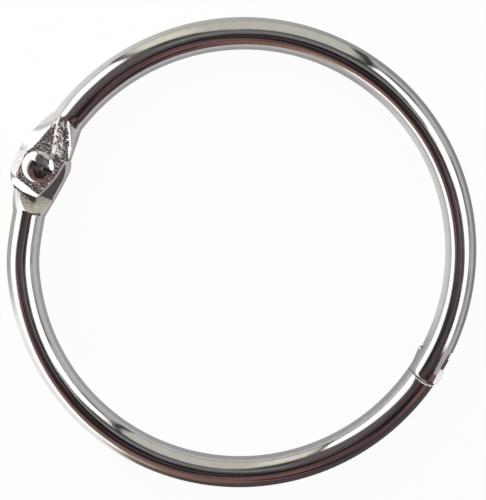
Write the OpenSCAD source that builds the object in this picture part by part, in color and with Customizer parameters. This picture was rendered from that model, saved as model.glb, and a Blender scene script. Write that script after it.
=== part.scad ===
// Hinged binder ring: two half rings of round plated steel wire. At one end each wire is pressed
// into a flat eye and the two eyes are riveted together; at the other end the wires are pressed
// into half-thick tongues that lap over each other and snap shut.
// The closed ring lies in the XY plane with its centre at the origin and its front towards +Z.

/* [Ring] */
// Clear inside diameter of the closed ring
inner_d = 38.1; // [30:0.1:60]
// Diameter of the round wire
wire_d = 2.9; // [2.6:0.05:3.2]

/* [Hinge eyes] */
// Place of the rivet round the ring, in degrees from +X
hinge_at = 156; // [140:1:170]
// Distance of the rivet outside the middle line of the wire
rivet_out = 0.15; // [0:0.05:0.25]
// Thickness of one pressed eye
eye_t = 1.15; // [0.95:0.05:1.25]
// Half the width of the front eye
front_eye_w = 2.4; // [2.2:0.05:2.6]
// Length over which the wire spreads into the front eye, from the rivet
front_spread_l = 4.9; // [4.4:0.1:6]
// Half the width of the rear eye
rear_eye_w = 2.27; // [2.1:0.01:2.5]
// Length over which the wire spreads into the rear eye, from the rivet
rear_spread_l = 4.3; // [4:0.1:6]
// Width of the level face inside the wire's middle line
face_in_w = 2; // [1.6:0.05:2.1]
// Width of the level face outside the wire's middle line
face_out_w = 1.45; // [1.2:0.05:1.7]
// Distance from the rivet to the point of the level face, where it leaves the round wire
face_l = 4.7; // [4.4:0.1:6]
// Distance from the rivet to where the face has come down to the eye's thickness
level_l = 2.9; // [2:0.1:3.2]
// Each eye's sides stay parallel this far past the rivet, then round in
round_at = 0.6; // [0.2:0.1:0.8]
// Length of each eye past the rivet, up to its straight end
eye_end = 2.6; // [2.3:0.05:2.7]
// Length of the bevel on each eye's end
bevel_l = 0.5; // [0.3:0.05:0.8]
// Drop of the bevel on each eye's end
bevel_t = 0.65; // [0.1:0.05:0.7]
// Distance from the rivet to the trimmed side of the front eye
trim_w = 1.85; // [1.7:0.05:2]
// Radius of the trimmed side
trim_r = 9.3; // [7:0.1:20]
// Slant of the trimmed side
trim_slant = 14; // [8:1:18]
// Length of the level lap, from the rivet to the foot of the ramp
ramp_at = 2.35; // [2.2:0.05:2.6]
// Length of the ramp that climbs from the lap to the full wire
ramp_l = 1.7; // [1.2:0.05:2]
// Inward set of the lower wire where it meets the hinge
neck_set = 0.22; // [0:0.02:0.3]
// Length over which that set dies away
neck_l = 5; // [3:0.5:8]

/* [Rivet] */
// Diameter of the rivet's shank
shank_d = 1.6; // [1.2:0.1:2]
// Diameter of both rivet heads
head_d = 2.9; // [2.4:0.1:3]
// Height of both rivet heads
head_t = 0.55; // [0.4:0.05:0.8]
// Straight rim under the dome of a head
rim_t = 0.12; // [0.05:0.01:0.2]

/* [Snap] */
// Place of the snap's middle round the ring, in degrees from +X
snap_at = -31; // [-60:1:-10]
// Overlap of the two tongues along the wire
lap_l = 3.4; // [3:0.1:4.5]
// Plan radius of each rounded tongue tip
tip_r = 2.6; // [2.2:0.1:4]
// Outward swelling of the front tongue's head
head_swell = 0.32; // [0:0.02:0.4]
// Inward swelling of the rear tongue
tongue_swell = 0.22; // [0:0.02:0.3]
// Depth of the notch in the front tongue's outer side
notch_w = 0.78; // [0.5:0.02:0.9]
// Length of that notch along the wire
notch_l = 1.72; // [1.4:0.02:2]
// Height of the rear tongue's lug above the lap
lug_t = 0.5; // [0.2:0.05:0.7]
// Width of the flat on the outer corner of the front tongue's head
flat_w = 1.35; // [0.3:0.05:1.5]

/* [Clearances] */
// Gap between the two lapped faces
lap_gap = 0.04; // [0.02:0.01:0.08]
// Gap round the rivet's shank
bore_gap = 0.03; // [0.02:0.01:0.06]
// Gap round the tongues
end_gap = 0.1; // [0.05:0.01:0.15]

/* [Hidden] */

wire_r = wire_d / 2;
// Radius of the ring's middle line, and of the rivet's place
mid_r = inner_d / 2 + wire_r;
rivet_r = mid_r + rivet_out;
// A size beyond everything that is cut
far = 12;
// Points on a quarter of a pressed section, and lengths between sections
quarter = 8;
step_l = 0.35;
// The pressed ends start this much inside the round wire and reach this far into it, so that
// they meet it in one clean edge
seat = 0.01;
seat_l = 0.2;
// Half width of the narrowest flat on a section, and the least width of its rounded shoulder
first_flat = 0.02;
shoulder = 0.3;
// Fullness of the spread from wire to eye, and of the level face's pointed outline
spread_power = 0.9;
face_power = 0.75;
// An eye's sides tuck in under its middle, as if they were to close this far below the lap
under_t = 0.6;
// The pressed eye reaches this far past its straight end before it is cut
spare_l = 0.2;
// The trimmed side of the front eye starts this far before the rivet, at 45 degrees to the wire
trim_from = 1.2;
trim_entry = 45;
// Lengths along the wire from the snap's middle: where the pressed part meets the round wire,
// and where the swelling of the front and of the rear tongue starts
snap_join = lap_l / 2 + 1.1;
head_swell_at = 1.1;
tongue_swell_at = 0.6;
swell_l = 1.6;
// The notch starts just behind the head, and the lug stands clear of it on all sides
notch_at = 0.1;
lug_root = 0.3;
// Tilt of the flat on the head's outer corner, and how deep it is pressed
flat_tilt = 45;
flat_t = flat_w * flat_w / (8 * wire_r);
// Gap under each rivet head
head_gap = 0.01;
$fn = 96;

// Angle round the ring for a length along the wire
function turn(length) = length / mid_r * 180 / PI;
// A share kept between nothing and all
function share(x) = min(1, max(0, x));
// The same with a soft start and end
function soft(x) = 0.5 - 0.5 * cos(180 * share(x));
// Length of an eye's pressed face and sides, from the rivet to the round wire
function eye_l(spread_l) = max(spread_l, face_l);

// One section of a pressed wire, as points [outwards, up]. It is w wide to each side at the
// height mid. Its top is level from -flat_in to flat_out at the height high, and it closes
// downwards at the depth low.
function section(w_out, w_in, flat_out, flat_in, high, mid, low) = [
    for (i = [0:quarter]) let (a = 90 * i / quarter)
        [flat_out + (w_out - flat_out) * cos(a), mid + (high - mid) * sin(a)],
    for (i = [0:quarter]) let (a = 90 * i / quarter)
        [-flat_in - (w_in - flat_in) * sin(a), mid + (high - mid) * cos(a)],
    for (i = [1:quarter]) let (a = 90 * i / quarter)
        [-first_flat - (w_in - first_flat) * cos(a), mid - (low + mid) * sin(a)],
    for (i = [0:quarter - 1]) let (a = 90 * i / quarter)
        [first_flat + (w_out - first_flat) * sin(a), mid - (low + mid) * cos(a)]
];

// Places from one length to another, no more than step_l apart
function places(from, to) = let (n = ceil((to - from) / step_l))
    [for (i = [0:n]) from + (to - from) * i / n];

// Skin over sections set round the ring: at[i] is a length along the wire, off[i] how far the
// section is moved outwards, and sections[i] its points
module pressed(at, off, sections) {
    n = len(sections[0]);
    last = len(at) - 1;
    points = [for (i = [0:last]) for (p = sections[i]) let (r = mid_r + off[i] + p[0])
        [r * cos(turn(at[i])), r * sin(turn(at[i])), p[1]]];
    first_end = [[for (j = [n - 1:-1:0]) j]];
    last_end = [[for (j = [0:n - 1]) last * n + j]];
    skin = [for (i = [0:last - 1]) for (j = [0:n - 1])
        let (k = (j + 1) % n, a = i * n + j, b = i * n + k, c = a + n, d = b + n)
        for (f = [[a, b, d], [a, d, c]]) f];
    polyhedron(points, concat(first_end, skin, last_end), convexity = 6);
}

// Round wire between two angles
module round_wire(from, to) {
    rotate_extrude(angle = to - from, start = from) translate([mid_r, 0]) circle(wire_r);
}

// Pressed hinge end, with the rivet's place on +X, the wire behind it towards -Y, the eye's
// straight end towards +Y and its level face up
module hinge_end(eye_w, spread_l, set, trimmed) {
    start = -eye_l(spread_l);
    neck = set > 0 ? places(start - neck_l, start - step_l) : [];
    first = set > 0 ? start - neck_l - seat_l : start - seat_l;
    at = concat([first], neck, places(start, round_at), places(round_at + step_l, eye_end + spare_l));
    off = [for (d = at) -set * soft((neck_l - start + d) / neck_l)];
    difference() {
        pressed(at, off, [for (d = at) eye_section(d, eye_w, spread_l)]);
        mate_room();
        linear_extrude(far, center = true) eye_waste(trimmed);
        translate([rivet_r, 0, 0]) cylinder(far, d = shank_d + 2 * bore_gap, center = true);
    }
}

// Section of an eye and its neck at a length from the rivet
function eye_section(d, eye_w, spread_l) = let (
    thin = wire_r - seat,
    grown = pow(sin(90 * share((spread_l + d) / (spread_l + round_at))), spread_power),
    past = max(0, d - round_at),
    w = past > 0 ? sqrt(max(shoulder, eye_w * eye_w - past * past)) : thin + (eye_w - thin) * grown,
    point = pow(sin(90 * share((face_l + d) / face_l)), face_power),
    flat_out = max(first_flat, min(face_out_w * point, w - shoulder)),
    flat_in = max(first_flat, min(face_in_w * point, w - shoulder)),
    level = share((face_l + d) / (face_l - level_l)),
    bevel = bevel_t * max(0, d - eye_end + bevel_l) / bevel_l,
    high = thin - (thin - eye_t) * level - bevel,
    lapped = share((ramp_at + ramp_l + d) / ramp_l),
    mid = min(eye_t / 2 * lapped, high / 2),
    low = thin - (thin - under_t) * lapped
) section(w, w, flat_out, flat_in, high, mid, low);

// What is pressed away behind an eye for the other eye: a level lap, the ramp up to the wire and,
// round the eye's own end, a coned relief that lets it turn over the other eye's ramp
module mate_room() {
    fall = wire_r + lap_gap / 2;
    translate([rivet_r, 0, lap_gap / 2]) {
        rotate([90, 0, 90]) linear_extrude(far, center = true) polygon([
            [far, 0], [-ramp_at, 0], [-ramp_at - 2 * ramp_l, -2 * fall], [far, -2 * fall]
        ]);
        rotate_extrude(angle = 180)
            polygon([[ramp_at, 0], [ramp_at + ramp_l, fall], [ramp_at + ramp_l, -fall], [ramp_at, -fall]]);
    }
}

// Plan of what is cut off an eye: all past its straight end and, on the front eye, what lies
// outside its trimmed side
module eye_waste(trimmed) {
    translate([rivet_r, 0]) {
        translate([-far / 2, eye_end]) square(far);
        if (trimmed) difference() {
            translate([-trim_w, -trim_from]) rotate(trim_entry) translate([-far / 2, 0]) square(far);
            rotate(-trim_slant) translate([trim_r - trim_w, 0]) circle(trim_r);
        }
    }
}

// Pressed snap end, with the snap's middle on +X, the wire behind it towards +Y and the tongue
// towards -Y, on the front
module snap_end(outer_swell, inner_swell) {
    at = concat(places(-lap_l / 2 - end_gap, snap_join), [snap_join + seat_l]);
    sections = [for (d = at) let (
        outer = outer_swell * share((head_swell_at - d) / swell_l),
        inner = inner_swell * share((tongue_swell_at - d) / swell_l),
        w = wire_r - seat
    ) section(w + outer, w + inner, first_flat, first_flat, w, 0, w)];
    difference() {
        pressed(at, [for (d = at) 0], sections);
        translate([0, 0, lap_gap / 2 - far]) linear_extrude(far)
            mirror([0, 1]) tongue_plan(tip_r + end_gap);
        linear_extrude(far, center = true) difference() {
            translate([mid_r - far / 2, -far]) square(far);
            tongue_plan(tip_r);
        }
    }
}

// Plan of a tongue that points towards -Y: its rounded tip and all that lies behind it
module tongue_plan(r) {
    translate([mid_r, tip_r - lap_l / 2]) {
        circle(r);
        translate([-far / 2, 0]) square(far);
    }
}

// A block between two lengths along the wire, over a width from inside to outside the ring's
// middle line and between two heights
module band(from, to, inside, outside, low, high) {
    rotate_extrude(angle = turn(to - from), start = turn(from))
        translate([mid_r + inside, low]) square([outside - inside, high - low]);
}

// Half ring with the front eye and the front tongue
module upper_half() {
    notch_in = wire_r - notch_w;
    color([0.78, 0.77, 0.75]) {
        rotate(hinge_at) hinge_end(front_eye_w, front_spread_l, 0, true);
        round_wire(snap_at + turn(snap_join), hinge_at - turn(eye_l(front_spread_l)));
        rotate(snap_at) difference() {
            snap_end(head_swell, 0);
            band(notch_at, notch_at + notch_l, notch_in, far / 2, lap_gap / 2, far);
            head_flat();
        }
    }
}

// The flat pressed on the outer corner of the front tongue's head
module head_flat() {
    w = wire_r + head_swell - seat;
    h = wire_r - seat;
    reach = norm([w * cos(flat_tilt), h * sin(flat_tilt)]) - flat_t;
    translate([mid_r, notch_at - far, 0]) rotate([0, -flat_tilt, 0])
        translate([reach, 0, -far / 2]) cube(far);
}

// Half ring with the rear eye and the rear tongue, whose lug stands in the front tongue's notch
module lower_half() {
    color([0.76, 0.75, 0.73]) {
        rotate(hinge_at) rotate([180, 0, 0]) hinge_end(rear_eye_w, rear_spread_l, neck_set, false);
        round_wire(hinge_at + turn(eye_l(rear_spread_l) + neck_l), 360 + snap_at - turn(snap_join));
        rotate(snap_at) {
            rotate([180, 0, 0]) snap_end(0, tongue_swell);
            lug();
        }
    }
}

module lug() {
    lug_in = wire_r - notch_w + end_gap / 2;
    intersection() {
        round_wire(turn(notch_at + end_gap), turn(lap_l / 2));
        band(notch_at + end_gap, lap_l / 2, lug_in, far / 2, -lug_root, lug_t);
        linear_extrude(far, center = true) mirror([0, 1]) tongue_plan(tip_r);
    }
}

// Rivet with a shank and a domed head at each end
module hinge_rivet() {
    color([0.8, 0.79, 0.77]) rotate(hinge_at) translate([rivet_r, 0, 0]) {
        cylinder(2 * (eye_t + head_gap), d = shank_d, center = true);
        for (side = [0, 1]) mirror([0, 0, side]) translate([0, 0, eye_t + head_gap]) rivet_head();
    }
}

module rivet_head() {
    dome_t = head_t - rim_t;
    dome_r = (head_d * head_d / 4 + dome_t * dome_t) / (2 * dome_t);
    intersection() {
        cylinder(head_t, d = head_d);
        translate([0, 0, head_t - dome_r]) sphere(dome_r);
    }
}

upper_half();
lower_half();
hinge_rivet();
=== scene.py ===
import math

import bpy
import numpy as np
from mathutils import Matrix, Vector, noise


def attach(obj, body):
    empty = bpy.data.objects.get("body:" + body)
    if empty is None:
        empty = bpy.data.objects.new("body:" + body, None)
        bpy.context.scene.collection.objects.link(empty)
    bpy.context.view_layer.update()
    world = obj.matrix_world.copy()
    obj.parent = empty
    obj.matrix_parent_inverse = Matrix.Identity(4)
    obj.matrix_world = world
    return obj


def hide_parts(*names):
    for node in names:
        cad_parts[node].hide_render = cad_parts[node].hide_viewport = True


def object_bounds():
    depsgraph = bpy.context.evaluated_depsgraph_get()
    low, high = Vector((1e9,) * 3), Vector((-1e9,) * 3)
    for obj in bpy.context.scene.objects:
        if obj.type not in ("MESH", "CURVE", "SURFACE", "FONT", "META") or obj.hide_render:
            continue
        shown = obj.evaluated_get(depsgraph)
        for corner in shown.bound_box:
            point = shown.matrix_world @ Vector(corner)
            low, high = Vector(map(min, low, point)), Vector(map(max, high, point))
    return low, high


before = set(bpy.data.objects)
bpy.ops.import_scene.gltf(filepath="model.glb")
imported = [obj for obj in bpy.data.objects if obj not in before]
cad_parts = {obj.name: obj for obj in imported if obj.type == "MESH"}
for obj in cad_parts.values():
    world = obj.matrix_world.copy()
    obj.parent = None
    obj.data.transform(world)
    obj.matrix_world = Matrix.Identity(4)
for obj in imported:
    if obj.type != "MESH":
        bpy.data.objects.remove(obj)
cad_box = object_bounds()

scene = bpy.context.scene
scene.view_settings.view_transform = "Standard"


# ---- Camera
# A small camera straight above the ring, leaning a little to its upper left. Its frame's height
# and focal length are in pixels, its lean in radians and the rest in millimetres.
MM = 0.001
FRAME_H = 500
FOCUS = 977.14
SENSOR = 36
CAMERA_AT = (-9.811, 9.280, 90)
LEAN_X = 0.0949
LEAN_Y = 0.10462
CLIP_NEAR = 10
CLIP_FAR = 10000
lens = bpy.data.cameras.new("camera")
lens.sensor_width = SENSOR
lens.lens = FOCUS / FRAME_H * SENSOR
lens.clip_start = CLIP_NEAR * MM
lens.clip_end = CLIP_FAR * MM
camera = bpy.data.objects.new("camera", lens)
scene.collection.objects.link(camera)
lean = (Matrix.Rotation(LEAN_X, 4, "X") @ Matrix.Rotation(LEAN_Y, 4, "Y")).transposed()
camera.matrix_world = Matrix.Translation(Vector(CAMERA_AT) * MM) @ lean
scene.camera = camera


# ---- Light tent
# The ring lies in a small round tent of white cloth. Its walls light it, and its open top and
# front, with dark sleeves reaching in, are what the plated wire mirrors as dark. The camera looks
# through it.
TENT_R = 98
TENT_H = 204
TENT_SINK = 20
TENT_SIDES = 128
# The way round the tent is counted from here, in degrees from +X
FRONT_EDGE = -32
# Its seams slant by this many degrees round for each degree down, between the two levels
SEAM_SLANT = 0.15
SEAM_LEVELS = (15.0, 85.0)
SEAM_MIDDLE = 40.0
# How many folds there are in a metre of cloth, and the span of the folds' shading
ROOF_FOLDS = 18.0
SLEEVE_FOLDS = 25.0
CREASE_FOLDS = 60.0
FOLD_SPAN = (0.38, 0.62)
FOLD_SHADE = 0.6
WALL = (1.25, 1.25, 1.25)
BACK_WALL = (0.53, 0.52, 0.475)
PALE_BACK = (0.74, 0.72, 0.63)
LOWER_CLOTH = (0.47, 0.47, 0.465)
WALL_FOOT = (0.62, 0.62, 0.615)
PLEAT = (0.46, 0.46, 0.455)
CREASE = (0.13, 0.135, 0.135)
ROOF = (0.097, 0.070, 0.070)
HAZE = (0.20, 0.20, 0.205)
TOP_HAZE = (0.16, 0.15, 0.155)
LOW_HAZE = (0.12, 0.125, 0.13)
SEAM_SHADE = (0.040, 0.038, 0.037)
SIDE_HAZE = (0.12, 0.10, 0.105)
DEEP = (0.020, 0.015, 0.018)
FAINT = (0.080, 0.065, 0.070)
LENS = (0.005, 0.006, 0.009)
CUFF = (0.022, 0.012, 0.013)
SLEEVE = (0.20, 0.108, 0.105)
LIT_SLEEVE = (0.235, 0.145, 0.12)
PALE_SLEEVE = (0.44, 0.35, 0.32)
FAR_SLEEVE = (0.100, 0.064, 0.068)
HOOD = (0.020, 0.012, 0.015)
FRONT = (0.055, 0.055, 0.062)
ROOM_LIGHT = (1, 1, 1, 1)


def add_node(tree, kind, links=(), **settings):
    """A shader node with its settings; links are [input, socket or value] pairs."""
    node = tree.nodes.new(kind)
    for name, value in settings.items():
        setattr(node, name, value)
    for name, source in links:
        if isinstance(source, bpy.types.NodeSocket):
            tree.links.new(source, node.inputs[name])
        else:
            node.inputs[name].default_value = source
    return node


def math_node(tree, operation, *values):
    """What one sum of one or two values gives."""
    return add_node(tree, "ShaderNodeMath", enumerate(values), operation=operation).outputs[0]


def fade(tree, value, low, high, to_low=0.0, to_high=1.0, kind="SMOOTHSTEP"):
    """A value brought from one range to another and held at its ends."""
    return add_node(tree, "ShaderNodeMapRange", [
        ["Value", value], ["From Min", low], ["From Max", high], ["To Min", to_low], ["To Max", to_high],
    ], interpolation_type=kind).outputs["Result"]


def blend_colour(tree, amount, under, over):
    """A colour laid over another by an amount from 0 to 1."""
    node = add_node(tree, "ShaderNodeMix", data_type="RGBA")
    for place, source in ((0, amount), (6, under), (7, over)):
        if isinstance(source, bpy.types.NodeSocket):
            tree.links.new(source, node.inputs[place])
        else:
            node.inputs[place].default_value = (*source, 1) if place else source
    return node.outputs[2]


def around_from(tree, x, y):
    """The way round the ring of a place, in degrees from the tent's front edge on."""
    turned = math_node(tree, "DEGREES", math_node(tree, "ARCTAN2", y, x))
    return math_node(tree, "WRAP", turned, 360 + FRONT_EDGE, FRONT_EDGE)


cloth = bpy.data.materials.new("tent_cloth")
cloth.use_nodes = True
hung = cloth.node_tree
hung.nodes.clear()
where = add_node(hung, "ShaderNodeTexCoord").outputs["Object"]
across = add_node(hung, "ShaderNodeSeparateXYZ", [[0, where]]).outputs
out = math_node(hung, "SQRT", math_node(hung, "ADD", math_node(hung, "MULTIPLY", across[0], across[0]),
                                        math_node(hung, "MULTIPLY", across[1], across[1])))
from_top = math_node(hung, "DEGREES", math_node(hung, "ARCTAN2", out, across[2]))
level = math_node(hung, "MINIMUM", math_node(hung, "MAXIMUM", from_top, SEAM_LEVELS[0]), SEAM_LEVELS[1])
slant = math_node(hung, "MULTIPLY", math_node(hung, "SUBTRACT", level, SEAM_MIDDLE), SEAM_SLANT)
around = math_node(hung, "SUBTRACT", around_from(hung, across[0], across[1]), slant)


def hang(under, colour, sides, top, bottom, soft=2, side_soft=1.5):
    """Hangs a cloth over the look so far. Its sides are degrees round the tent from +X, and its top
    and bottom edges, at each side, degrees from straight up as seen from the ring's middle."""
    left = fade(hung, around, sides[0] - side_soft, sides[0] + side_soft)
    right = fade(hung, around, sides[1] - side_soft, sides[1] + side_soft, 1, 0)
    top_edge = fade(hung, around, *sides, *top, "LINEAR")
    low_edge = fade(hung, around, *sides, *bottom, "LINEAR")
    above = fade(hung, math_node(hung, "SUBTRACT", from_top, top_edge), -soft, soft)
    below = fade(hung, math_node(hung, "SUBTRACT", from_top, low_edge), -soft, soft, 1, 0)
    amount = math_node(hung, "MULTIPLY", math_node(hung, "MULTIPLY", left, right),
                       math_node(hung, "MULTIPLY", above, below))
    return blend_colour(hung, amount, under, colour)


def crumpled(folds, dark, light):
    """A cloth colour that wanders between two tones."""
    bumps = add_node(hung, "ShaderNodeTexNoise", [["Vector", where], ["Scale", folds], ["Detail", 3.0]])
    return blend_colour(hung, fade(hung, bumps.outputs[0], *FOLD_SPAN), dark, light)


sleeve = crumpled(SLEEVE_FOLDS, tuple(FOLD_SHADE * c for c in SLEEVE), SLEEVE)
far_sleeve = crumpled(SLEEVE_FOLDS, tuple(FOLD_SHADE * c for c in FAR_SLEEVE), FAR_SLEEVE)
creased = crumpled(CREASE_FOLDS, CREASE, LOWER_CLOTH)
look = crumpled(ROOF_FOLDS, DEEP, FAINT)
# Each cloth's colour, sides, top edge and bottom edge, then how soft those edges and its sides are
for hanging in (
        (ROOF, (-60, 340), (-9, -9), (8, 8)),
        (TOP_HAZE, (216, 256), (5, 5), (16, 17), 3, 8),
        (SEAM_SHADE, (-10, 112), (4, 4), (60, 60), 1.5),
        (SEAM_SHADE, (-40, -8), (7, 7), (60, 60), 3),
        (LOW_HAZE, (-40, 108), (6, 6), (14, 28), 3),
        (HAZE, (-40, 100), (6.5, 6.5), (12, 18), 2.5),
        (SIDE_HAZE, (106, 152), (7, 7), (60, 60), 3, 3),
        (CUFF, (192, 264), (30, 36), (60, 60), 5, 8),
        (CUFF, (260, 325), (30, 12), (60, 60), 5, 5),
        (LENS, (257, 305), (6, 6), (19, 14), 2, 5),
        (sleeve, (188, 232), (37, 49), (88, 92), 6, 8),
        (sleeve, (228, 262), (49, 43), (92, 92), 3, 4),
        (sleeve, (258, 308), (44, 18), (92, 92), 4, 4),
        (sleeve, (306, 340), (44, 40), (92, 92), 5, 4),
        (far_sleeve, (293, 316), (24, 44), (92, 92), 4, 5),
        (HOOD, (288, 316), (9, 14), (19, 28), 3, 4),
        (CUFF, (276, 296), (55, 57), (66, 72), 5, 6),
        (CUFF, (290, 307), (66, 70), (80, 84), 5, 5),
        (LIT_SLEEVE, (236, 262), (54, 56), (92, 92), 7, 7),
        (PALE_SLEEVE, (236, 250), (74, 74), (92, 92), 6, 4),
        (FRONT, (268, 340), (76, 72), (92, 92), 5, 7),
        (BACK_WALL, (47, 82), (31, 28), (92, 92), 6),
        (BACK_WALL, (81, 108.5), (28, 49), (92, 92), 7),
        (PALE_BACK, (92, 108.5), (48, 50), (84, 84), 8, 6),
        (PLEAT, (-40, -24), (45, 44), (63, 60), 3, 2),
        (PLEAT, (327, 340), (48, 45), (60, 63), 2, 3),
        (WALL, (-28, 2), (24, 13), (50, 52), 2.5, 2),
        (WALL, (-2, 42), (11, 32), (52, 56), 2.5),
        (creased, (-40, 42), (54, 58), (70, 72), 3),
        (LOWER_CLOTH, (-40, 42), (68, 70), (92, 92), 4),
        (WALL_FOOT, (113.5, 150), (60, 60), (92, 92), 4),
        (WALL, (113.5, 150), (48, 32), (75, 80), 6),
        (WALL, (146, 240), (44, 76), (92, 92), 7, 3)):
    look = hang(look, *hanging)
lit_cloth = add_node(hung, "ShaderNodeEmission", [["Color", look], ["Strength", 1.0]]).outputs[0]
clear = add_node(hung, "ShaderNodeBsdfTransparent").outputs[0]
looked_at = add_node(hung, "ShaderNodeLightPath").outputs["Is Camera Ray"]
shown = add_node(hung, "ShaderNodeMixShader", [[0, looked_at], [1, lit_cloth], [2, clear]]).outputs[0]
add_node(hung, "ShaderNodeOutputMaterial", [["Surface", shown]])

bpy.ops.object.select_all(action="DESELECT")
bpy.ops.mesh.primitive_cylinder_add(vertices=TENT_SIDES, radius=TENT_R * MM, depth=TENT_H * MM,
                                    location=(0, 0, (TENT_H / 2 - TENT_SINK) * MM))
tent = bpy.context.object
tent.name = "light_tent"
bpy.ops.object.transform_apply(location=True)
bpy.ops.object.mode_set(mode="EDIT")
bpy.ops.mesh.select_all(action="SELECT")
bpy.ops.mesh.flip_normals()
bpy.ops.object.mode_set(mode="OBJECT")
tent.data.materials.append(cloth)

room = bpy.data.worlds.new("room")
scene.world = room
room.use_nodes = True
room.node_tree.nodes["Background"].inputs["Color"].default_value = ROOM_LIGHT


# ---- Floor
# A sheet of white paper under the ring. It keeps the ring's faint shadow. What the wire's sides mirror
# of it is painted light and shade, greyer away from the ring, with a painted bright patch by the snap.
FLOOR_W = 2
PAPER = (0.85, 0.85, 0.86, 1)
# Shares of the camera's and the reflections' view that show the paper's own light, and its light
SEEN_SHARE = 0.85
MIRRORED_SHARE = 0.9
SEEN_LIGHT = 1.1
# The outer painted tones start under the wire, within UNDER_SOFT of UNDER_RING; inside the ring the
# painted shade turns from one tone to another between two radii, darker towards the wire
UNDER_RING = 21.2
UNDER_SOFT = 0.5
INNER_TURN = (8, 17)
INNER_PAPER_SHADE = (0.57, 0.56, 0.57)
RIM_PAPER_SHADE = (0.37, 0.36, 0.375)
# That second tone is a painted pool of light between these bearings, in degrees from +X
PAINTED_LIT_PAPER = (0.72, 0.72, 0.73)
LIT_FROM = (FRONT_EDGE, -15)
LIT_TO = (35, 60)
# Bearings and painted light and shade of the paper outside the ring, which only reflections see
OUTER_PAPER_SHADING = (
    (-32, 0.19, 0.195, 0.20), (55, 0.27, 0.28, 0.28), (75, 0.40, 0.40, 0.39), (105, 0.52, 0.52, 0.50),
    (120, 0.66, 0.66, 0.65), (155, 1.0, 1.0, 1.0), (161, 0.95, 0.95, 0.94), (167, 0.46, 0.45, 0.42),
    (183, 0.42, 0.42, 0.41), (189, 0.58, 0.58, 0.57), (197, 1.0, 1.0, 0.99), (234, 0.95, 0.94, 0.92),
    (244, 0.15, 0.10, 0.09), (258, 0.05, 0.035, 0.035), (325, 0.05, 0.045, 0.048),
    (328, 0.19, 0.195, 0.20))
# A painted patch of light beside the snap, seen only in reflections, which gives the snap's flat a
# painted highlight: its bearing, its soft near and far edges, and the span of its sides
PAINTED_GLARE = (1.0, 1.0, 1.0)
GLARE_AT = -31.0
GLARE_NEAR = (25, 26)
GLARE_FAR = (44, 46)
GLARE_SIDE = (3.5, 4.5)
bpy.ops.object.select_all(action="DESELECT")
bpy.ops.mesh.primitive_plane_add(size=FLOOR_W, location=(0, 0, cad_box[0][2]))
floor = bpy.context.object
floor.name = "paper"
bpy.ops.object.transform_apply(location=True)
paper = bpy.data.materials.new("white_paper")
paper.use_nodes = True
sheet = paper.node_tree
sheet.nodes.clear()
spot = add_node(sheet, "ShaderNodeTexCoord").outputs["Object"]
length = add_node(sheet, "ShaderNodeVectorMath", [[0, spot]], operation="LENGTH").outputs["Value"]
away = math_node(sheet, "DIVIDE", length, MM)
across = add_node(sheet, "ShaderNodeSeparateXYZ", [[0, spot]]).outputs
side = around_from(sheet, across[0], across[1])
# Painted light and shade of the paper, by bearing and distance, which only the wire's reflections see
tones = add_node(sheet, "ShaderNodeValToRGB", [
    ["Fac", fade(sheet, side, FRONT_EDGE, 360 + FRONT_EDGE, 0, 1, "LINEAR")]])
while len(tones.color_ramp.elements) < len(OUTER_PAPER_SHADING):
    tones.color_ramp.elements.new(1)
for stop, (at_side, *tone) in zip(tones.color_ramp.elements, OUTER_PAPER_SHADING):
    stop.position = (at_side - FRONT_EDGE) / 360
    stop.color = (*tone, 1)
right = math_node(sheet, "MULTIPLY", fade(sheet, side, *LIT_FROM), fade(sheet, side, *LIT_TO, 1, 0))
rim = blend_colour(sheet, right, RIM_PAPER_SHADE, PAINTED_LIT_PAPER)
mirrored = blend_colour(sheet, fade(sheet, away, *INNER_TURN), INNER_PAPER_SHADE, rim)
outside = fade(sheet, away, UNDER_RING - UNDER_SOFT, UNDER_RING + UNDER_SOFT)
mirrored = blend_colour(sheet, outside, mirrored, tones.outputs["Color"])
# The painted patch of light beside the snap
glare = math_node(sheet, "MULTIPLY", fade(sheet, away, *GLARE_NEAR), fade(sheet, away, *GLARE_FAR, 1, 0))
from_glare = math_node(sheet, "WRAP", math_node(sheet, "SUBTRACT", side, GLARE_AT), 180, -180)
from_glare = math_node(sheet, "ABSOLUTE", from_glare)
glare = math_node(sheet, "MULTIPLY", glare, fade(sheet, from_glare, *GLARE_SIDE, 1, 0))
mirrored = blend_colour(sheet, glare, mirrored, PAINTED_GLARE)
matt = add_node(sheet, "ShaderNodeBsdfDiffuse", [["Color", PAPER]]).outputs[0]
bright = add_node(sheet, "ShaderNodeEmission", [["Strength", SEEN_LIGHT]]).outputs[0]
seen = add_node(sheet, "ShaderNodeEmission", [["Color", mirrored], ["Strength", 1.0]]).outputs[0]
path = add_node(sheet, "ShaderNodeLightPath").outputs
shown = matt
for ray, most, light in (("Is Camera Ray", SEEN_SHARE, bright), ("Is Glossy Ray", MIRRORED_SHARE, seen)):
    amount = math_node(sheet, "MULTIPLY", path[ray], most)
    shown = add_node(sheet, "ShaderNodeMixShader", [[0, amount], [1, shown], [2, light]]).outputs[0]
add_node(sheet, "ShaderNodeOutputMaterial", [["Surface", shown]])
floor.data.materials.append(paper)


# ---- Upper half ring
# Half a ring of round steel wire. One end is pressed into a thin eye with a stamped face, the other
# into half a tongue with a swollen head; all of it is then nickel plated. Sizes are in millimetres.
WIRE_R = 1.45
MID_R = 20.5
HINGE_AT = 156
SNAP_AT = -31
SWEEP = HINGE_AT - SNAP_AT
AROUND = 128
# The hinge eyes, measured from the rivet
RIVET_R = MID_R + 0.15
BORE_R = 0.83
EYE_T = 1.15
EYE_END = 2.6
ROUND_AT = 0.6
FACE_L = 4.7
FACE_OUT_W = 1.45
FACE_IN_W = 2
FALL_L = 1.8
SIDE_W = 0.3
BACK_T = 0.6
NECK_L = 5
RAMP_AT = 2.35
RAMP_L = 1.7
END_BEVEL = 0.5
END_FALL = 0.65
LAP_GAP = 0.04
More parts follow.
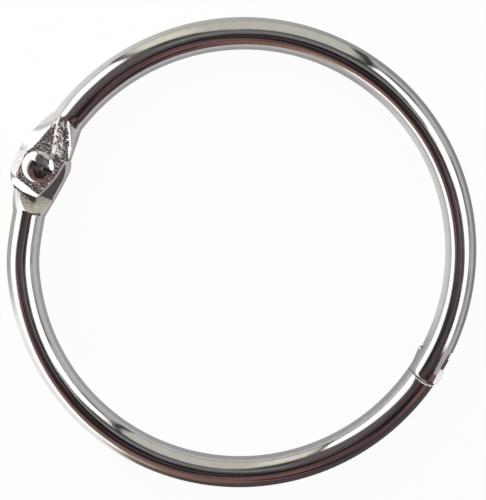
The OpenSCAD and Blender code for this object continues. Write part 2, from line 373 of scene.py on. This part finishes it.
# The front eye alone, with its trimmed side and the chamfer along it
FRONT_EYE_W = 2.4
FRONT_SPREAD_L = 4.9
STAMPED_IN_W = 2.6
TRIM_W = 1.85
TRIM_R = 9.3
TRIM_SLANT = 14
TRIM_FROM = 1.2
TRIM_ENTRY = 45
EDGE_BEVEL = 0.24
EDGE_SLOPE = 0.577
EDGE_SET = 0.1
# Lines on its stamped face, as [d, v, slope], where d and v are how far a spot lies past the rivet
# and outside it, both measured straight
OUTER_EDGE = (-3.92, 0.31, 0.306)
OUTER_EDGE_LOW = (-1.57, 1.03, 0.6)
OUTER_EDGE_W = 1.5
INNER_EDGE = (-4.35, -0.98, -0.45)
END_EDGE = (1.98, 0, 0.29)
# How steeply the slopes beside that face fall, and how high its ridge and its uneven ground are
OUTER_SLOPE = 0.46
INNER_SLOPE = 0.38
END_SLOPE = 0.66
RIDGE_T = 0.22
RIDGE_FROM = 4.6
GROUND_T = 0.04
# The snap's tongues, measured from their middle, and the front one's swollen head
LAP_L = 3.4
END_GAP = 0.1
TIP_R = 2.6
TIP_ROUND = 0.45
SNAP_JOIN = LAP_L / 2 + 1.1
HEAD_SWELL = 0.32
HEAD_END = 1.1
SWELL_END = 0.6
SWELL_L = 1.6
SWELL_AT = 0.55
SWELL_H = 0.25
NOTCH_IN = WIRE_R - 0.78
NOTCH_FROM = 0.1
NOTCH_TO = 2.05
FLAT_W = 1.35
FLAT_TILT = 45
CHAMFER_TILT = 28
CHAMFER_T = 0.045
# How far cutting tools reach across a piece and along it, and how round their drums are
REACH = 6
FAR = 12
DRUM_SIDES = 192


def turn(length):
    """Angle round the ring, in degrees, for a length along the wire."""
    return math.degrees(length / MID_R)


def share(x):
    """Holds a value between 0 and 1."""
    return min(1, max(0, x))


def start_fresh():
    """Leaves nothing selected, so that the next operator works on its own piece alone."""
    if bpy.context.object and bpy.context.object.mode != "OBJECT":
        bpy.ops.object.mode_set(mode="OBJECT")
    bpy.ops.object.select_all(action="DESELECT")


def take(piece):
    start_fresh()
    piece.select_set(True)
    bpy.context.view_layer.objects.active = piece


def draw_wire(name, at, stretches):
    """Closed round wire from the angle at through stretches of [end, step], all in degrees."""
    start_fresh()
    a = math.radians(at)
    bpy.ops.mesh.primitive_circle_add(
        vertices=AROUND, radius=WIRE_R, fill_type="NGON",
        location=(MID_R * math.cos(a), MID_R * math.sin(a), 0), rotation=(math.pi / 2, 0, a))
    wire = bpy.context.object
    wire.name = name
    bpy.ops.object.transform_apply(location=True, rotation=True, scale=True)
    bpy.ops.object.mode_set(mode="EDIT")
    bpy.ops.mesh.select_all(action="SELECT")
    for end, step in stretches:
        bpy.ops.mesh.spin(
            steps=round((end - at) / step), angle=-math.radians(end - at), center=(0, 0, 0), axis=(0, 0, 1))
        at = end
    bpy.ops.mesh.select_all(action="SELECT")
    bpy.ops.mesh.normals_make_consistent(inside=False)
    bpy.ops.object.mode_set(mode="OBJECT")
    return wire


def die_section(w_out, w_in, flat_out, flat_in, high, mid, low):
    """Quarters of a pressed section, as rows of [outwards, up] from its outer side over the top."""
    a = np.linspace(0, math.pi / 2, 60)
    top_out = np.stack([flat_out + (w_out - flat_out) * np.cos(a), mid + (high - mid) * np.sin(a)], -1)
    top_in = np.stack([-flat_in - (w_in - flat_in) * np.sin(a), mid + (high - mid) * np.cos(a)], -1)
    low_in = np.stack([-w_in * np.cos(a), mid - (low + mid) * np.sin(a)], -1)
    low_out = np.stack([w_out * np.sin(a), mid - (low + mid) * np.cos(a)], -1)
    middle = np.array([[0, high]])
    return [np.vstack([top_out, middle]), np.vstack([middle, top_in]), low_in, low_out]


def eye_section(d, eye_w, spread_l, face_in_w, end_fall):
    """Section of a hinge eye and its neck at the length d past the rivet."""
    grown = math.sin(math.pi / 2 * share((spread_l + d) / (spread_l + ROUND_AT))) ** 0.9
    past = max(0, d - ROUND_AT)
    w = math.sqrt(max(0.3, eye_w ** 2 - past ** 2)) if past else WIRE_R + (eye_w - WIRE_R) * grown
    point = math.sin(math.pi / 2 * share((FACE_L + d) / FACE_L)) ** 0.75
    lapped = share((RAMP_AT + RAMP_L + d) / RAMP_L)
    bevel = end_fall * max(0, d - EYE_END + END_BEVEL) / END_BEVEL
    high = WIRE_R - (WIRE_R - EYE_T) * share((FACE_L + d) / FALL_L) - bevel
    return die_section(
        w, w, min(FACE_OUT_W * point, w - SIDE_W), min(face_in_w * point, w - SIDE_W),
        high, min(EYE_T / 2 * lapped, high / 2), WIRE_R - (WIRE_R - BACK_T) * lapped)


def face_edges(d):
    """Where the front eye's level face ends, on its inner and its outer side."""
    lines = (INNER_EDGE, OUTER_EDGE, OUTER_EDGE_LOW)
    inner, outer, outer_low = [v + slope * (d - at) for at, v, slope in lines]
    return inner, outer if d < OUTER_EDGE_LOW[0] else min(OUTER_EDGE_W, outer_low)


def past_end_edge(d, v):
    """How far a spot of the front eye lies past the slanting edge of its end bevel."""
    return max(0, d - END_EDGE[0] + END_EDGE[2] * v)


def stamped_relief(d, v):
    """What the die leaves on the front eye's face: the height of a ragged ridge and an uneven
    ground, and how far the slopes beside the level face fall. Each fades out along the eye."""
    inner, outer = face_edges(d)
    fall = OUTER_SLOPE * max(0, v - outer) * share((2.2 - d) / 0.8) * share((d + 7) / 2.6)
    fall += INNER_SLOPE * max(0, inner - v) * share((-1.5 - d) / 0.9) * share((d + 5.2) / 0.8)
    fall += END_SLOPE * past_end_edge(d, v)
    past_tip = max(0, d + RIDGE_FROM)
    middle = -0.12 - 0.32 * past_tip ** 0.9
    half = (0.26 if v > middle else 0.5) + 0.05 * past_tip + 0.12 * noise.noise(Vector((d * 3, 0, 7)))
    along = share((d + 5.1) / 0.6) * share((-1.2 - d) / 0.5)
    ragged = 0.75 + 0.7 * noise.noise(Vector((d * 2.6, v * 2.6, 3)))
    ridge = RIDGE_T * along * ragged * max(0, 1 - abs(v - middle) / half)
    ground = GROUND_T * share((d + 4.9) / 0.6) * share((1.9 - d) / 0.2) * (inner < v < outer)
    return ridge + ground * noise.noise(Vector((d * 5.2, v * 5.2, 0))), fall


def press_ends(wire, sweep, eye_w, spread_l, neck_set, outer_swell, inner_swell, relief):
    """Moves the wire's surface as the dies do, with the rivet on +X and the snap at -sweep degrees."""
    face = (STAMPED_IN_W, 0) if relief else (FACE_IN_W, END_FALL)
    rings = {}
    for v in wire.data.vertices:
        at = math.degrees(math.atan2(v.co.y, v.co.x))
        at = at - 360 if at > 90 else at
        rings.setdefault(round(at, 3), []).append(v)
    for at, ring in rings.items():
        d = math.radians(at) * MID_R
        t = math.radians(at + sweep) * MID_R
        if d > -FACE_L - NECK_L:
            quarters = eye_section(d, eye_w, spread_l, *face)
        elif t < SNAP_JOIN:
            w_out = WIRE_R + outer_swell * share((HEAD_END - t) / SWELL_L)
            quarters = die_section(w_out, WIRE_R, 0, 0, WIRE_R, 0, WIRE_R)
        else:
            continue
        inset = neck_set * (0.5 - 0.5 * math.cos(math.pi * share((NECK_L + FACE_L + d) / NECK_L)))
        for v in ring:
            u = (math.atan2(v.co.z, math.hypot(v.co.x, v.co.y) - MID_R) / math.tau) % 1
            u = 0 if u > 1 - 1e-5 else u
            quarter = quarters[int(u * 4 + 1e-6)]
            along = np.concatenate([[0], np.cumsum(np.linalg.norm(np.diff(quarter, axis=0), axis=1))])
            reach = share(u * 4 - int(u * 4 + 1e-6)) * along[-1]
            r = MID_R - inset + np.interp(reach, along, quarter[:, 0])
            z = np.interp(reach, along, quarter[:, 1])
            if relief and u < 0.5 and d > -FACE_L - NECK_L / 2:
                rise, fall = relief(r * math.sin(d / MID_R), r * math.cos(d / MID_R) - RIVET_R)
                side_z, top_z = quarters[0][0, 1], quarters[0][-1, 1]
                z = side_z + (z - side_z) * max(0.1, 1 - fall / (top_z - side_z))
                z += rise * share(16 * u) * share(16 * (0.5 - u))
            if t < SNAP_JOIN and r < MID_R:
                r -= inner_swell * share((SWELL_END - t) / SWELL_L) * share(1.8 - abs(z - SWELL_AT) / SWELL_H)
            if t < 0 and z > 0:
                tip = math.hypot(r * math.cos(t / MID_R) - MID_R, r * math.sin(t / MID_R) - TIP_R + LAP_L / 2)
                edge = share((TIP_R - tip) / TIP_ROUND)
                z -= TIP_ROUND * (1 - math.sqrt(1 - (1 - edge) ** 2))
            v.co = (r * math.cos(math.radians(at)), r * math.sin(math.radians(at)), z)
    wire.data.update()


def block(low, high, centre=(0, 0), turned=0):
    """Cutting block between two corners that are measured from centre, turned about it."""
    start_fresh()
    middle = [(a + b) / 2 for a, b in zip(low, high)]
    bpy.ops.mesh.primitive_cube_add(size=1, location=middle, scale=[b - a for a, b in zip(low, high)])
    cube = bpy.context.object
    bpy.ops.object.transform_apply(location=True, rotation=True, scale=True)
    cube.data.transform(Matrix.Translation((*centre, 0)) @ Matrix.Rotation(math.radians(turned), 4, "Z"))
    return cube


def drum(r, low, high, centre=(0, 0), top_r=None):
    """Cutting drum, or cone where its top has a radius of its own."""
    start_fresh()
    bpy.ops.mesh.primitive_cone_add(
        vertices=DRUM_SIDES, radius1=r, radius2=r if top_r is None else top_r, depth=high - low,
        location=(*centre, (high + low) / 2))
    bpy.ops.object.transform_apply(location=True, rotation=True, scale=True)
    return bpy.context.object


def shape(piece, tool, how="DIFFERENCE"):
    """Cuts a piece with a tool, keeps what they share or joins them, and takes the tool away."""
    take(piece)
    cut = piece.modifiers.new("cut", "BOOLEAN")
    cut.operation = how
    cut.solver = "MANIFOLD"
    cut.object = tool
    bpy.ops.object.modifier_apply(modifier=cut.name)
    bpy.data.objects.remove(tool)


def turn_piece(piece, degrees, axis="Z"):
    piece.data.transform(Matrix.Rotation(math.radians(degrees), 4, axis))


def cut_eye(piece, trimmed):
    """Cuts the end, the lap, the ramp and the bore, with the rivet on +X and the lap at z = 0."""
    rivet_at = (RIVET_R, 0)
    fall = WIRE_R + LAP_GAP / 2
    shape(piece, block((-REACH, EYE_END, -REACH), (REACH, FAR, REACH), rivet_at))
    lap = block((-REACH, -RAMP_AT, LAP_GAP / 2 - 2 * fall), (REACH, FAR, LAP_GAP / 2), rivet_at)
    for v in lap.data.vertices:
        if v.co.y < 0 and v.co.z < 0:
            v.co.y -= 2 * RAMP_L
    shape(piece, lap)
    under = 0.2
    slope = RAMP_L / fall
    relief = drum(RAMP_AT + RAMP_L, LAP_GAP / 2 - under, LAP_GAP / 2 + fall, rivet_at)
    top = LAP_GAP / 2 + fall + under
    shape(relief, drum(RAMP_AT - 2 * under * slope, LAP_GAP / 2 - 2 * under, top, rivet_at,
                       RAMP_AT + RAMP_L + under * slope))
    shape(relief, block((-REACH, 0, -REACH), (REACH, FAR, REACH), rivet_at), "INTERSECT")
    shape(piece, relief)
    if trimmed:
        waste = block((-REACH, 0, -REACH - 1), (REACH, FAR, REACH + 1),
                      (RIVET_R - TRIM_W, -TRIM_FROM), TRIM_ENTRY)
        slant = math.radians(-TRIM_SLANT)
        centre = (RIVET_R + (TRIM_R - TRIM_W) * math.cos(slant), (TRIM_R - TRIM_W) * math.sin(slant))
        shape(waste, drum(TRIM_R, -REACH - 2, REACH + 2, centre))
        shape(piece, waste)
        edge_z = EYE_T - EDGE_BEVEL
        waste = block((-REACH, 0, edge_z), (REACH, FAR, REACH + 1),
                      (RIVET_R - TRIM_W + EDGE_SET, -TRIM_FROM), TRIM_ENTRY)
        shape(waste, drum(TRIM_R + EDGE_SLOPE, edge_z - 1, edge_z + 2, centre, TRIM_R - 2 * EDGE_SLOPE))
        shape(piece, waste)
    shape(piece, drum(BORE_R, -REACH, REACH, rivet_at))


def cut_tongue(piece):
    """Cuts the tongue's underside and rounds its tip, with the snap's middle on +X."""
    tip = (MID_R, TIP_R - LAP_L / 2)
    low, lap_z = LAP_GAP / 2 - REACH, LAP_GAP / 2
    room = block((-REACH, -FAR, low), (REACH, -tip[1], lap_z), (MID_R, 0))
    shape(room, drum(TIP_R + END_GAP, low, lap_z, (MID_R, -tip[1])), "UNION")
    shape(piece, room)
    waste = block((-REACH, -FAR, -REACH), (REACH, tip[1], REACH), (MID_R, 0))
    shape(waste, drum(TIP_R, -REACH - 1, REACH + 1, tip))
    shape(piece, waste)


def press_half(name, sweep, eye_w, spread_l, neck_set=0, outer_swell=0, inner_swell=0,
               trimmed=False, relief=None):
    """A whole half ring, left with the snap's middle on +X and its tongue on the front."""
    wire = draw_wire(name, -sweep - turn(LAP_L / 2 + END_GAP), [
        [-sweep, 0.12], [-sweep + turn(SNAP_JOIN), 0.3], [-turn(FACE_L + NECK_L), 1],
        [-turn(FACE_L + 0.3), 0.6], [turn(EYE_END + 0.2), 0.2]])
    press_ends(wire, sweep, eye_w, spread_l, neck_set, outer_swell, inner_swell, relief)
    cut_eye(wire, trimmed)
    turn_piece(wire, sweep)
    cut_tongue(wire)
    return wire


# The plating is bright where the wire was only drawn, duller where the dies worked it, and there its
# colour is warmed by a painted reflection of the cream and mauve cloth that those faces mirror.
# Its wave, grains and stains say how many there are in a metre and in what detail, and the first
# two how deep they are
PLATE = (0.90, 0.885, 0.86)
POLISH = 0.05
DULL = (0.93, 0.93, 0.93, 1)
STAIN = (1500.0, 3.0)
STAIN_SPAN = (0.35, 0.7)
# Painted reflection tints for the faces the dies worked, and how much of them is laid on
PAINTED_REFLECTION_TINTS = (("scooped", (0.86, 0.82, 0.72)), ("stamped", (0.84, 0.775, 0.75)))
REFLECTION_TINT_SHARE = 0.8
WAVE = (260.0, 1.0, 0.035)
GRAIN = (6000.0, 2.0, 0.0012)
DIE_GRAINS = (("stamped", 5200.0, 3.0), ("scooped", 4200.0, 3.0), ("hatched", 7000.0, 3.0))
STAMPED_DEPTH = 0.07
SCOOPED_DEPTH = 0.06
HATCHED_DEPTH = 0.014
WORN_ROUGH = 0.08
GRAIN_ROUGH = 0.03
# Towards the top and the bottom of the ring the plating's normal is turned round Z by up to this
# many degrees, which sets where the tent's seams are mirrored there
BOW = 6
SMOOTH_UNDER = 14


def build_plating():
    """Shader group for bright nickel plate over drawn wire: a slight wave and grain everywhere, and
    the pitted finish that the dies leave on the faces marked stamped, scooped or hatched."""
    tree = bpy.data.node_groups.new("nickel_plating", "ShaderNodeTree")
    for name, kind in (("Tint", "Color"), ("Polish", "Float"), ("Stamped Depth", "Float")):
        tree.interface.new_socket(name, in_out="INPUT", socket_type="NodeSocket" + kind)
    for name, kind in (("Color", "Color"), ("Roughness", "Float"), ("Normal", "Vector")):
        tree.interface.new_socket(name, in_out="OUTPUT", socket_type="NodeSocket" + kind)
    given = add_node(tree, "NodeGroupInput").outputs
    spot = add_node(tree, "ShaderNodeTexCoord").outputs["Object"]
    spot_y = add_node(tree, "ShaderNodeSeparateXYZ", [[0, spot]]).outputs[1]
    bow = math_node(tree, "MULTIPLY", spot_y, -math.radians(BOW) / (MID_R * MM))
    surface = add_node(tree, "ShaderNodeNewGeometry").outputs["Normal"]
    normal = add_node(tree, "ShaderNodeVectorRotate", [["Vector", surface], ["Angle", bow]],
                      rotation_type="Z_AXIS").outputs[0]

    def bumps(scale, detail):
        return add_node(tree, "ShaderNodeTexNoise",
                        [["Vector", spot], ["Scale", scale], ["Detail", detail]]).outputs[0]

    def raise_by(height, under):
        return add_node(tree, "ShaderNodeBump", [
            ["Height", height], ["Strength", 1.0], ["Distance", MM], ["Normal", under]]).outputs[0]

    for scale, detail, depth in (WAVE, GRAIN):
        grain = bumps(scale, detail)
        normal = raise_by(math_node(tree, "MULTIPLY", grain, depth), normal)
    rough = math_node(tree, "MULTIPLY", grain, GRAIN_ROUGH)
    depths = {"stamped": given["Stamped Depth"], "scooped": SCOOPED_DEPTH, "hatched": HATCHED_DEPTH}
    masks = {}
    worked = 0.0
    for mark, scale, detail in DIE_GRAINS:
        masks[mark] = add_node(tree, "ShaderNodeAttribute", attribute_name=mark).outputs["Fac"]
        height = math_node(tree, "MULTIPLY", bumps(scale, detail), depths[mark])
        normal = raise_by(math_node(tree, "MULTIPLY", height, masks[mark]), normal)
        worked = math_node(tree, "MAXIMUM", masks[mark], worked)
    rough = math_node(tree, "ADD", rough, math_node(tree, "MULTIPLY", worked, WORN_ROUGH))
    rough = math_node(tree, "ADD", rough, given["Polish"])
    dull = add_node(tree, "ShaderNodeMix", [[6, given["Tint"]], [7, DULL]],
                    data_type="RGBA", blend_type="MULTIPLY")
    dull.inputs[0].default_value = 1
    colour = blend_colour(tree, fade(tree, bumps(*STAIN), *STAIN_SPAN), dull.outputs[2], given["Tint"])
    # Painted reflection: the worked faces take the cream and mauve that they mirror
    for mark, mirrored_tint in PAINTED_REFLECTION_TINTS:
        colour = blend_colour(tree, math_node(tree, "MULTIPLY", masks[mark], REFLECTION_TINT_SHARE), colour, mirrored_tint)
    add_node(tree, "NodeGroupOutput", [["Color", colour], ["Roughness", rough], ["Normal", normal]])
    return tree


def plate(name, tint, polish, stamped_depth):
    """A plated metal of its own tint, polish and stamped depth, all from the shared group."""
    material = bpy.data.materials.new(name)
    material.use_nodes = True
    tree = material.node_tree
    metal = tree.nodes["Principled BSDF"]
    metal.inputs["Metallic"].default_value = 1
    plated = add_node(tree, "ShaderNodeGroup", [
        ["Tint", (*tint, 1)], ["Polish", polish], ["Stamped Depth", stamped_depth]], node_tree=plating)
    for made, taken in (("Color", "Base Color"), ("Roughness", "Roughness"), ("Normal", "Normal")):
        tree.links.new(plated.outputs[made], metal.inputs[taken])
    return material


def mark_faces(piece, mark, test):
    """Marks the faces that pass test(middle, normal), while their end of the piece lies on +X."""
    layer = piece.data.attributes.get(mark) or piece.data.attributes.new(mark, "FLOAT", "FACE")
    for face in piece.data.polygons:
        if face.center.x > 15 and test(face.center, face.normal):
            layer.data[face.index].value = 1


def on_level_face(c, n):
    """The front eye's stamped face, with a ragged edge."""
    ragged = 0.12 * noise.noise(c * 3)
    d = c.y + ragged
    v = c.x - RIVET_R + ragged
    inner, outer = face_edges(d)
    level = c.z > 0.7 and n.z > 0.8
    return level and d > -RIDGE_FROM and not past_end_edge(d, v) and inner < v < outer + (d > -0.8)


def finish_half(half, node, body):
    """Brings a half ring to metres, plates it and lets it stand for its node."""
    take(half)
    half.data.transform(Matrix.Scale(MM, 4))
    bpy.ops.object.shade_smooth_by_angle(angle=math.radians(SMOOTH_UNDER))
    half.data.materials.clear()
    half.data.materials.append(nickel)
    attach(half, body)
    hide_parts(node)


plating = build_plating()
nickel = plate("nickel_plate", PLATE, POLISH, STAMPED_DEPTH)
upper = press_half("upper_half_plated", SWEEP, FRONT_EYE_W, FRONT_SPREAD_L,
                   outer_swell=HEAD_SWELL, trimmed=True, relief=stamped_relief)
shape(upper, block((NOTCH_IN, NOTCH_FROM, LAP_GAP / 2), (REACH, NOTCH_TO, REACH), (MID_R, 0)))
for lifted, depth in ((FLAT_TILT, FLAT_W ** 2 / (8 * WIRE_R)), (CHAMFER_TILT, CHAMFER_T)):
    tilt = math.radians(lifted)
    rim_r = math.hypot((WIRE_R + HEAD_SWELL) * math.cos(tilt), WIRE_R * math.sin(tilt))
    waste = block((rim_r - depth, -FAR, -REACH), (FAR, 0, REACH))
    waste.data.transform(Matrix.Translation((MID_R, NOTCH_FROM, 0)) @ Matrix.Rotation(-tilt, 4, "Y"))
    shape(upper, waste)
turn_piece(upper, -SWEEP)
mark_faces(upper, "stamped", on_level_face)
turn_piece(upper, HINGE_AT)
finish_half(upper, "upper_half", "upper")


# ---- Lower half ring
# The other half, pressed from the same wire. Its eye lies behind the front one, and its tongue
# carries a lug that stands in the front tongue's notch and holds the ring shut.
REAR_EYE_W = 2.27
REAR_SPREAD_L = 4.3
NECK_SET = 0.22
TONGUE_SWELL = 0.22
LUG_T = 0.5
LUG_FOOT = 0.3
# The lug's top falls by these shares of the way outwards and away from its tip
LUG_SLOPE_OUT = 0.15
LUG_SLOPE_BACK = 0.09


def on_lap(c, n):
    """The level lap that the dies leave on an eye or a tongue."""
    return n.z > 0.95 and abs(c.z) < 0.05


def on_lap_or_lug(c, n):
    return on_lap(c, n) or n.z > 0.95 and 0.1 < c.z < LUG_T + 0.05


def in_scoop(c, n):
    """The sloping foot of the neck below the front eye."""
    return c.y > 2.2 and n.y < -0.6 and 0.7 < n.z < 0.8


lower = press_half("lower_half_plated", 360 - SWEEP, REAR_EYE_W, REAR_SPREAD_L,
                   neck_set=NECK_SET, inner_swell=TONGUE_SWELL)
turn_piece(lower, 180, "X")
lug = draw_wire("lug", turn(0.2), [[turn(LAP_L / 2), 0.3]])
top = block((NOTCH_IN + END_GAP / 2, -REACH, -LUG_FOOT), (REACH, LAP_L / 2, LUG_T), (MID_R, 0))
for v in top.data.vertices:
    if v.co.z > 0:
        v.co.z -= LUG_SLOPE_OUT * (v.co.x - MID_R - NOTCH_IN) + LUG_SLOPE_BACK * (LAP_L / 2 - v.co.y)
shape(lug, top, "INTERSECT")
shape(lug, drum(TIP_R, -REACH, REACH, (MID_R, LAP_L / 2 - TIP_R)), "INTERSECT")
shape(lower, lug, "UNION")
mark_faces(lower, "hatched", on_lap_or_lug)
turn_piece(lower, -SWEEP)
mark_faces(lower, "hatched", on_lap)
mark_faces(lower, "scooped", in_scoop)
turn_piece(lower, HINGE_AT)
finish_half(lower, "lower_half", "lower")


# ---- Hinge rivet
# A plated steel rivet through both eyes, with a shank and a low button head on each side. Setting
# it has left its heads leaning slightly.
SHANK_R = 0.8
SHANK_TUCK = 0.05
SEAT_Z = EYE_T + 0.01
HEAD_R = 1.45
HEAD_T = 0.51
HEAD_RINGS = 48
HEAD_FOOT = 0.02
# The dome falls by a share of the squared distance up to FLAT_R, then by shares of what is past it
# and of its square, and steeply over the rim
DOME_FALL = 0.165
FLAT_R = 1.0
SIDE_FALL = (0.33, 0.4)
RIM_W = 0.06
RIM_FALL = 2
HEAD_LEAN = 0.10
LEAN_TO = 27
RIVET_PLATE = (0.90, 0.89, 0.87)
RIVET_POLISH = 0.045
RIVET_SMOOTH = 30
start_fresh()
bpy.ops.mesh.primitive_circle_add(
    vertices=AROUND, radius=SHANK_R, fill_type="NGON", location=(0, 0, -SEAT_Z - SHANK_TUCK))
rivet = bpy.context.object
rivet.name = "hinge_rivet_plated"
bpy.ops.object.transform_apply(location=True)
bpy.ops.object.mode_set(mode="EDIT")
bpy.ops.mesh.select_all(action="SELECT")
bpy.ops.mesh.extrude_region_move(TRANSFORM_OT_translate={"value": (0, 0, 2 * SEAT_Z + 2 * SHANK_TUCK)})
bpy.ops.mesh.select_all(action="SELECT")
bpy.ops.mesh.normals_make_consistent(inside=False)
bpy.ops.object.mode_set(mode="OBJECT")
lean_at = math.radians(LEAN_TO - HINGE_AT)
for side in (0, 180):
    head = drum(HEAD_R, SEAT_Z, SEAT_Z + HEAD_T)
    bpy.ops.object.mode_set(mode="EDIT")
    bpy.ops.mesh.select_all(action="DESELECT")
    bpy.ops.object.mode_set(mode="OBJECT")
    for face in head.data.polygons:
        face.select = face.normal.z > 0.9
    bpy.ops.object.mode_set(mode="EDIT")
    for _ in range(HEAD_RINGS - 1):
        bpy.ops.mesh.inset(thickness=HEAD_R / HEAD_RINGS)
    bpy.ops.object.mode_set(mode="OBJECT")
    for v in head.data.vertices:
        if v.co.z > SEAT_Z + 0.01:
            r = math.hypot(v.co.x, v.co.y)
            past = max(0, r - FLAT_R)
            drop = DOME_FALL * min(r, FLAT_R) ** 2
            drop += SIDE_FALL[0] * past + SIDE_FALL[1] * past ** 2 + RIM_FALL * max(0, r - HEAD_R + RIM_W)
            leaning = HEAD_LEAN * (v.co.x * math.cos(lean_at) + v.co.y * math.sin(lean_at))
            v.co.z = SEAT_Z + max(HEAD_FOOT, HEAD_T - drop + leaning)
    turn_piece(head, side, "X")
    shape(rivet, head, "UNION")
rivet.data.transform(Matrix.Rotation(math.radians(HINGE_AT), 4, "Z") @ Matrix.Translation((RIVET_R, 0, 0)))
rivet.data.transform(Matrix.Scale(MM, 4))
take(rivet)
bpy.ops.object.shade_smooth_by_angle(angle=math.radians(RIVET_SMOOTH))
rivet.data.materials.clear()
rivet.data.materials.append(plate("rivet_plate", RIVET_PLATE, RIVET_POLISH, 0))
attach(rivet, "upper")
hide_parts("hinge_rivet")
